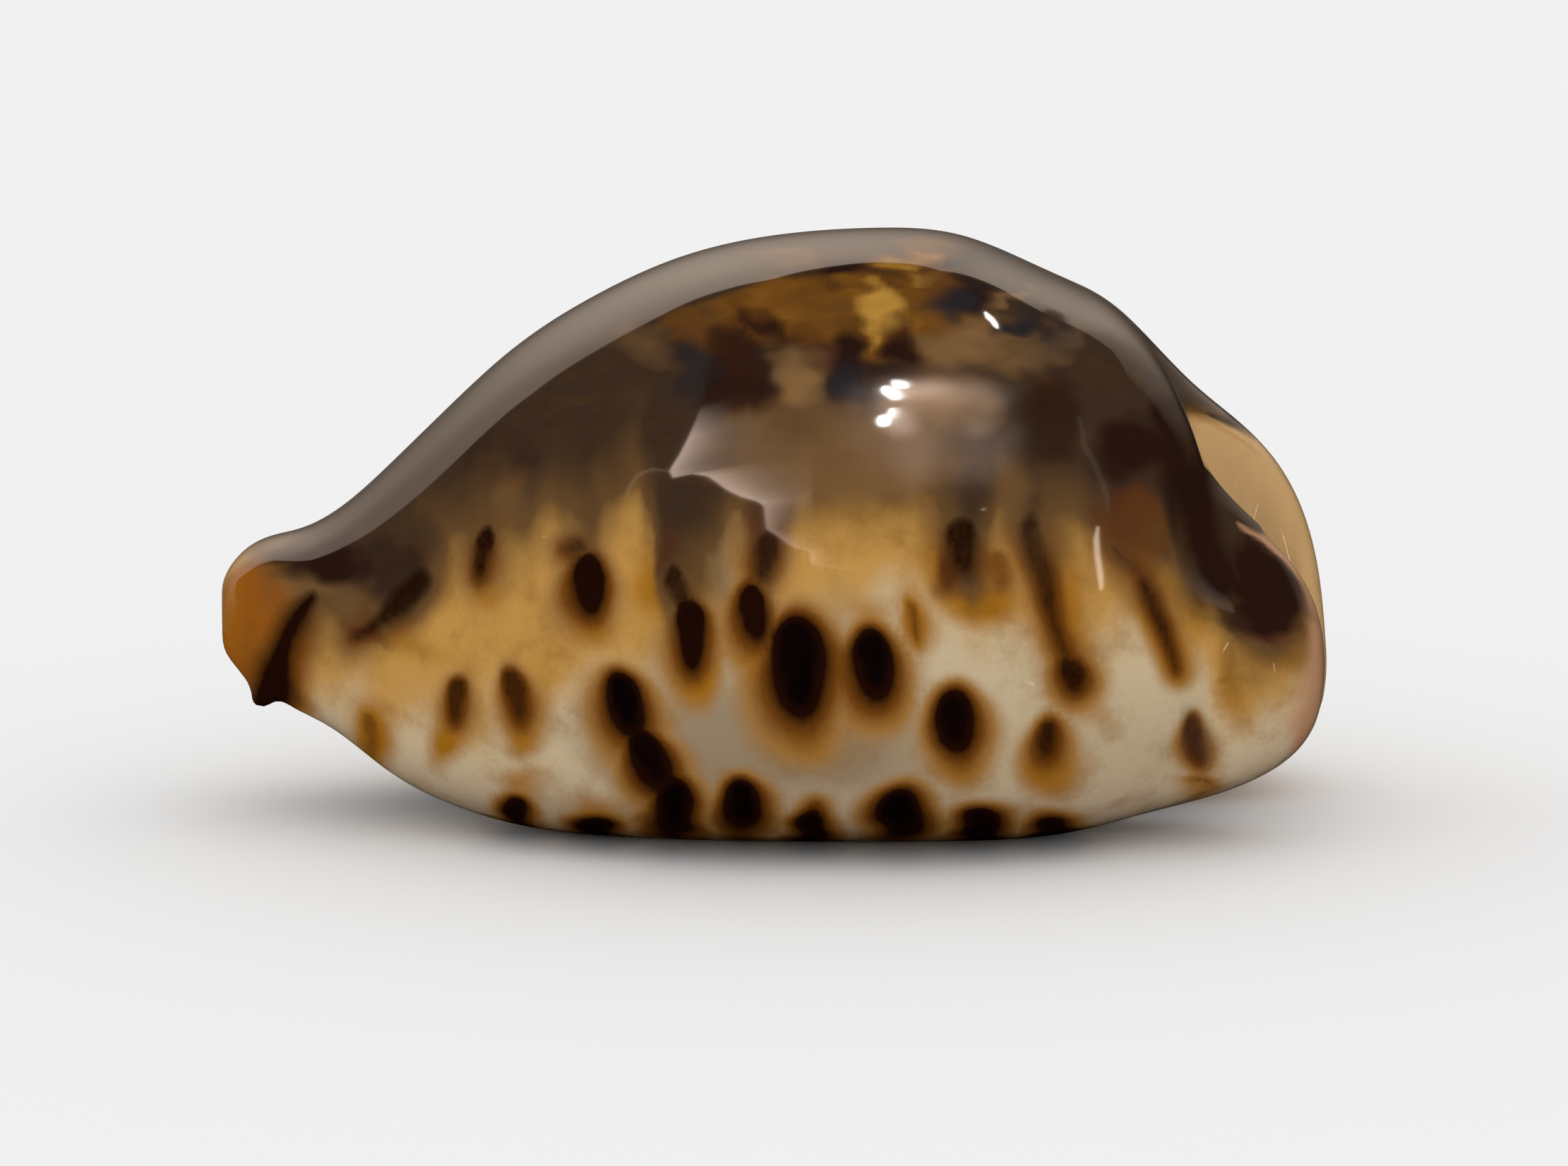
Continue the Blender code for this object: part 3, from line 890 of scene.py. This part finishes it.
def shell_colour(finish):
    """The colours of the shell, each laid over those before it where its mark is strong."""
    cloud = finish.noise(2.6, 3) - 0.5
    grain = finish.noise(0.35, 2) - 0.5
    drawn_out = finish.node("VectorMath", {"operation": "MULTIPLY"}, {
        0: finish.node("TexCoord", output="Object"), 1: (0.45, 1, 1),
    })
    brushed = finish.noise(1.8, 3, drawn_out) - 0.5
    clouding = cloud * 0.3 + brushed * 0.45
    spot = finish.mark("spot") + (cloud * 0.10 + grain * 0.06)
    amber = finish.mark("amber") + (cloud * 0.30 + grain * 0.14)
    mantle = finish.mark("mantle") + (cloud * 0.26 + grain * 0.05)
    fawn = finish.mark("fawn") + clouding * 0.7
    gold = finish.mark("gold") + clouding
    rust = finish.mark("rust") + clouding * 0.7
    layers = (
        (finish.ramp(finish.mark("warm") + cloud * 0.35, 0.0, 1.0), HONEY),
        # Dull cream, partly painted shade at the lower right.
        (finish.mark("dull_and_shade"), DULL_AND_SHADED_CREAM),
        (finish.mark("base"), BASE),
        (finish.slide(spot, 0.0, 0.24), DEEP_HONEY),
        (finish.mark("snout"), ORANGE),
        (finish.mark("lobe"), TAN),
        (finish.slide(amber, 0.0, 0.85), AMBER),
        (finish.slide(spot, 0.24, 0.48), BROWN),
        (finish.slide(mantle, 0.0, 0.5), MANTLE_RIM),
        (finish.slide(mantle, 0.5, 1.0), MANTLE),
        (finish.slide(fawn, 0.1, 0.95), FAWN),
        (finish.slide(gold, 0.05, 0.45), OLD_GOLD),
        (finish.slide(gold, 0.45, 1.0), GOLD),
        (finish.slide(rust, 0.1, 0.95), RUST),
        (finish.slide(finish.mark("night") + clouding, 0.1, 0.9), NIGHT_BROWN),
        (finish.mark("slate") * 0.8, SLATE_GREY),
        (finish.mark("rim"), PINK),
        (finish.slide(spot, 0.48, 0.76), UMBER),
        (finish.slide(spot, 0.85, 1.0), BLACK),
        (finish.mark("inside"), LILAC),
    )
    colour = CREAM
    for share, paint in layers:
        colour = finish.mix(share, colour, paint)
    return colour


def glossy_shell():
    """The glazed shell, nearly as smooth as glass."""
    finish = Finish("glossy shell")
    finish.feed(finish.surface.inputs["Base Color"], shell_colour(finish))
    finish.feed(finish.surface.inputs["Roughness"], GLAZE_ROUGHNESS)
    return finish.material


def camera():
    """The photograph's viewing angle."""
    lens = bpy.data.cameras.new("camera")
    lens.lens = LENS
    lens.sensor_width = SENSOR
    lens.clip_start = 0.01
    lens.shift_x = (FRAME[0] / 2 - TARGET_PIXEL[0]) / FRAME[0]
    lens.shift_y = (TARGET_PIXEL[1] - FRAME[1] / 2) / FRAME[0]
    thing = bpy.data.objects.new("camera", lens)
    bpy.context.scene.collection.objects.link(thing)
    back = Vector((0, -np.cos(ELEVATION), np.sin(ELEVATION)))
    thing.location = Vector((0, 0, TARGET_LEVEL)) + DISTANCE * back
    thing.rotation_euler = (np.pi / 2 - ELEVATION, 0, 0)
    bpy.context.scene.camera = thing


def floor_stage():
    """The pale floor that the shell rests on."""
    bpy.ops.mesh.primitive_plane_add(size=FLOOR_SIZE)
    floor = bpy.context.object
    floor.name = "floor"
    finish = Finish("pale floor")
    finish.feed(finish.surface.inputs["Base Color"], FLOOR_GREY)
    finish.feed(finish.surface.inputs["Roughness"], FLOOR_ROUGHNESS)
    finish.feed(finish.surface.inputs["Specular IOR Level"], 0)
    floor.data.materials.append(finish.material)
    floor.visible_glossy = False


# How far away, in metres, the things of the room are that the glaze mirrors.
ROOM_FAR = 27.0
WINDOW_FAR = 24.0
HAZE_FAR = 22.0
LINES_FAR = 20.0

# How a pixel's ray finds the shell: how far before the middle it starts, in mm, how many steps it makes, and
# what share of the way to the shell each step may take.
RAY_START = 38
RAY_STEPS = 90
STEP_SHARE = 0.7


def glaze_share(facing):
    """The share of light that the glaze mirrors, by the cosine of the angle at which it is seen."""
    across = np.clip(facing, 0.02, 1)
    inside = np.sqrt(GLAZE_INDEX ** 2 - 1 + across ** 2)
    level = (inside - across) / (inside + across)
    upright = (across * (inside + across) - 1) / (across * (inside - across) + 1)
    return level ** 2 * (1 + upright ** 2) / 2


def mirrored(pixels):
    """For pixels of the photograph: the surface points, the ways the glaze mirrors there, and its share."""
    u = (pixels[..., 0] - TARGET_PIXEL[0]) / FOCAL
    v = (TARGET_PIXEL[1] - pixels[..., 1]) / FOCAL
    ahead = np.array((0, np.cos(ELEVATION), -np.sin(ELEVATION)))
    up = np.array((0, np.sin(ELEVATION), np.cos(ELEVATION)))
    rays = ahead + u[..., None] * np.array((1, 0, 0)) + v[..., None] * up
    rays /= np.linalg.norm(rays, axis=-1, keepdims=True)
    eye = np.array((0, 0, TARGET_LEVEL)) - DISTANCE * ahead
    reach = np.full(u.shape, DISTANCE - RAY_START * MM)
    for _ in range(RAY_STEPS):
        reach += STEP_SHARE * np.maximum(shell(eye + rays * reach[..., None]), 0)
    points = eye + rays * reach[..., None]
    normals = slope(points)
    normals /= np.linalg.norm(normals, axis=-1, keepdims=True)
    facing = (rays * normals).sum(-1, keepdims=True)
    return points, rays - 2 * facing * normals, glaze_share(-facing[..., 0])


def glow_finish(name, colour, strength):
    """Light of one colour, as strong as the mark glow says."""
    finish = Finish(name)
    finish.feed(finish.surface.inputs["Base Color"], (0, 0, 0, 1))
    finish.feed(finish.surface.inputs["Specular IOR Level"], 0)
    finish.feed(finish.surface.inputs["Emission Color"], finish.mix(finish.mark("glow"), (0, 0, 0), colour))
    finish.feed(finish.surface.inputs["Emission Strength"], strength)
    finish.material.cycles.emission_sampling = "NONE"
    return finish.material


def bright_sheet(name, corners, glow, colour, strength):
    """A lit sheet of the far room that only shows mirrored: rows of corners, and how bright each one is."""
    rows, columns = glow.shape
    faces = []
    for i in range(rows - 1):
        for j in range(columns - 1):
            k = i * columns + j
            faces.append((k, k + 1, k + columns + 1, k + columns))
    mesh = bpy.data.meshes.new(name)
    mesh.from_pydata(corners.reshape(-1, 3).tolist(), [], faces)
    keep_mark(mesh, "glow", glow)
    mesh.materials.append(glow_finish(name, colour, strength))
    thing = bpy.data.objects.new(name, mesh)
    bpy.context.scene.collection.objects.link(thing)
    thing.visible_camera = False
    thing.visible_diffuse = False
    thing.visible_transmission = False
    thing.visible_shadow = False


# The bright room behind the shell: its azimuth, how high its edge stands, both in degrees, and its light.
ROOM_EDGE = (
    (-85, 20, 0.5), (-66, 24, 0.6), (-57, 27, 0.7), (-54, 31, 0.7), (-51, 39, 0.7), (-45, 44, 0.65),
    (-38, 48, 0.75), (-34, 49, 0.9), (-22, 51, 1.0), (-13, 52, 1.05), (0, 46, 0.9), (10, 50, 0.7),
    (20, 46, 0.9), (25, 44, 0.9), (34, 44, 0.45), (43, 45, 0.3), (52, 45, 0.2), (60, 45, 0.0),
)
ROOM_FOOT = -8
ROOM_LIGHT = (1.0, 0.83, 0.69)
ROOM_STRENGTH = 1.75
# The room's corners around and upwards, the degrees up to which its light grows, and the share of light at
# its foot, which ends between two azimuths.
ROOM_CORNERS = (91, 33)
ROOM_FULL_LIGHT = 45
FOOT_AZIMUTHS = (5, 20)
FOOT_LIGHTS = (0.08, 0.0)


def bright_room():
    """The bright wall behind the shell, which makes the grey veil over its top."""
    azimuths, edges, lights = zip(*ROOM_EDGE)
    around, upwards = ROOM_CORNERS
    across = np.linspace(azimuths[0], azimuths[-1], around)[:, None]
    share = np.linspace(0, 1, upwards)[None, :]
    azimuth = np.radians(across + 0 * share)
    edge = np.interp(across, azimuths, edges)
    degrees = ROOM_FOOT + (edge - ROOM_FOOT) * share
    elevation = np.radians(degrees)
    level = np.cos(elevation)
    corners = np.stack((np.sin(azimuth) * level, np.cos(azimuth) * level, np.sin(elevation)), -1)
    foot = np.interp(across, FOOT_AZIMUTHS, FOOT_LIGHTS)
    glow = np.interp(across, azimuths, lights) * (foot + (1 - foot) * ease(0, ROOM_FULL_LIGHT, degrees))
    bright_sheet("bright_room", ROOM_FAR * corners, glow, ROOM_LIGHT, ROOM_STRENGTH)


def room_sheet(name, pixels, light, colour, far):
    """A sheet of the far room that shows at pixels of the photograph, with the light that it adds there."""
    points, ways, shares = mirrored(pixels)
    light = light / shares
    strength = float(light.max())
    bright_sheet(name, points + far * ways, light / strength, colour, strength)


# The pale window that the near flank mirrors, in the photograph's pixels: its ragged edge and its other side.
SHEEN_EDGE = (
    (994, 574), (984, 600), (974, 622), (962, 645), (948, 667), (953, 677), (978, 671), (1003, 675),
    (1016, 684), (1029, 694), (1050, 704), (1074, 711), (1082, 718), (1086, 750), (1104, 761), (1114, 769),
    (1127, 777), (1146, 780), (1149, 800), (1166, 803), (1183, 805), (1200, 806),
)
SHEEN_BACK = ((1500, 440), (1530, 520), (1540, 620), (1500, 700), (1440, 750), (1340, 790), (1215, 807))
# Its soft upper side.
SHEEN_TOP = (
    (940, 540), (1000, 555), (1040, 590), (1100, 600), (1170, 590), (1220, 530), (1300, 510), (1420, 545),
    (1540, 590),
)
# The light along the ragged edge, by the number of the corner, and how far it reaches in from there, in
# pixels.
RIM_CORNERS = (0, 1, 2, 11, 13, 20)
RIM_LIGHTS = (0, 0.2, 0.42, 0.42, 0.26, 0.16)
REACH_CORNERS = (0, 4, 10, 13, 20)
REACHES = (28, 38, 42, 13, 9)

# The haze around the lamps: its corners across and down, its middle, and its half width and height.
HAZE_ACROSS = np.arange(1150, 1501, 9.0)
HAZE_DOWN = np.arange(490, 731, 8.0)
HAZE_MIDDLE = (1325, 610)
HAZE_HALF = (175, 120)
HAZE_BLUR = 200
# Its soft glows: across, down, half width, half height, lean and light.
LAMP_GLOWS = (
    (1302, 552, 34, 11, 4, 0.24), (1350, 556, 50, 16, 6, 0.06), (1268, 575, 22, 30, 20, 0.14),
    (1275, 604, 20, 12, 0, 0.18), (1360, 560, 70, 14, 6, 0.06), (1310, 600, 90, 60, 0, 0.07),
    (1402, 576, 26, 9, 20, 0.06), (1388, 606, 22, 12, 20, 0.06), (1400, 650, 44, 30, 30, 0.05),
    (1295, 650, 26, 30, 0, 0.05), (1210, 560, 40, 18, 0, 0.05),
)
SHEEN_COLOUR = (1.0, 0.77, 0.64)


def pale_window():
    """The window that makes the milky sheen with its ragged edge."""
    edge = np.array(SHEEN_EDGE, float)
    back = np.array(SHEEN_BACK, float)
    at = np.linspace(0, len(back) - 1, len(edge))
    back = np.stack([np.interp(at, range(len(back)), line) for line in back.T], -1)
    share = np.linspace(0, 1, 28)[None, :, None] ** 1.5
    pixels = edge[:, None] + (back - edge)[:, None] * share
    away = np.linalg.norm(pixels - edge[:, None], axis=-1)
    along = np.arange(len(edge))[:, None]
    rim = np.interp(along, RIM_CORNERS, RIM_LIGHTS)
    reach = np.interp(along, REACH_CORNERS, REACHES)
    light = rim * np.exp(-away / reach)
    below = pixels[..., 1] - follow(SHEEN_TOP, pixels[..., 0])
    light = light * (1 - ease(0.55, 1, share[..., 0])) * ease(-25, 35, below)
    room_sheet("pale_window", pixels, light, SHEEN_COLOUR, WINDOW_FAR)


def lamp_haze():
    """The soft light around the lamps."""
    across, down = np.meshgrid(HAZE_ACROSS, HAZE_DOWN)
    flat = across, down, np.zeros(across.shape)
    light = np.zeros(across.shape)
    for *place, strength in LAMP_GLOWS:
        light = light + strength * oval(flat, *place, HAZE_BLUR)
    (middle, level), (half_width, half_height) = HAZE_MIDDLE, HAZE_HALF
    away = np.hypot((across - middle) / half_width, (down - level) / half_height)
    light = light * (1 - ease(0.6, 1, away))
    room_sheet("lamp_haze", np.stack((across, down), -1), light, SHEEN_COLOUR, HAZE_FAR)


# Lamps and thin bright lines of the room: their pixels, width and colour, and the light that they add.
PINKISH = (1.0, 0.80, 0.62)
WHITE = (1.0, 0.97, 0.92)
BRIGHT_LINES = {
    "long_line": (
        ((1555, 746), (1553, 765), (1554, 785), (1557, 802), (1559, 820), (1560, 836)),
        10, PINKISH, 0.42,
    ),
    "lamp_1": (((1250, 549), (1254, 552), (1261, 557), (1268, 562), (1272, 566)), 14, WHITE, 3.0),
    "lamp_2": (((1264, 539), (1269, 542), (1275, 545), (1282, 546), (1286, 546)), 12, WHITE, 2.5),
    "lamp_3": (((1243, 598), (1247, 597), (1252, 596), (1257, 595), (1260, 594)), 17, WHITE, 3.0),
    "lamp_4": (((1259, 594), (1260, 590), (1262, 586), (1264, 581), (1265, 578)), 11, WHITE, 2.0),
    "lamp_5": (((1395, 442), (1399, 448), (1405, 453), (1410, 460), (1413, 465)), 9, WHITE, 1.2),
    "faint_line_1": (((948, 668), (925, 665), (905, 672), (892, 688), (886, 708)), 6, PINKISH, 0.05),
    "faint_line_2": (((1528, 590), (1535, 630), (1554, 666), (1568, 705), (1569, 725)), 10, PINKISH, 0.02),
    "speck_1": (((768, 760), (773, 761)), 6, PINKISH, 0.15),
    "speck_2": (((1390, 722), (1396, 721)), 7, PINKISH, 0.25),
    "speck_3": (((1454, 967), (1466, 970)), 6, PINKISH, 0.25),
}
# A line's corners across its width, the light at each, and the share of the width at its ends.
LINE_SIDES = (-0.5, -0.25, 0.25, 0.5)
LINE_LIGHTS = (0.25, 1, 1, 0.25)
END_WIDTH = 0.45


def bright_lines():
    """The lamps and the thin bright lines."""
    for name, (path, width, colour, strength) in BRIGHT_LINES.items():
        path = np.array(path, float)
        along = np.gradient(path, axis=0)
        along /= np.linalg.norm(along, axis=1, keepdims=True)
        beside = np.stack((-along[:, 1], along[:, 0]), -1)
        taper = np.ones(len(path))
        taper[[0, -1]] = END_WIDTH
        sides = np.array(LINE_SIDES) * width
        pixels = path[:, None] + beside[:, None] * (sides * taper[:, None])[..., None]
        light = strength * np.array(LINE_LIGHTS) * np.ones((len(path), 1))
        room_sheet(name, pixels, light, colour, LINES_FAR)


def daylight():
    """Soft white light from all round, which the glaze doesn't mirror."""
    world = bpy.data.worlds.new("soft light")
    bpy.context.scene.world = world
    world.use_nodes = True
    back = world.node_tree.nodes["Background"]
    back.inputs["Color"].default_value = (1, 1, 1, 1)
    back.inputs["Strength"].default_value = 1.0
    world.cycles_visibility.glossy = False


shell_thing = shell_surface()
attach(shell_thing, "root")
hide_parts("shell")
shell_thing.data.materials.append(glossy_shell())
floor_stage()
camera()
daylight()
bright_room()
pale_window()
lamp_haze()
bright_lines()
bpy.context.scene.view_settings.view_transform = "Standard"
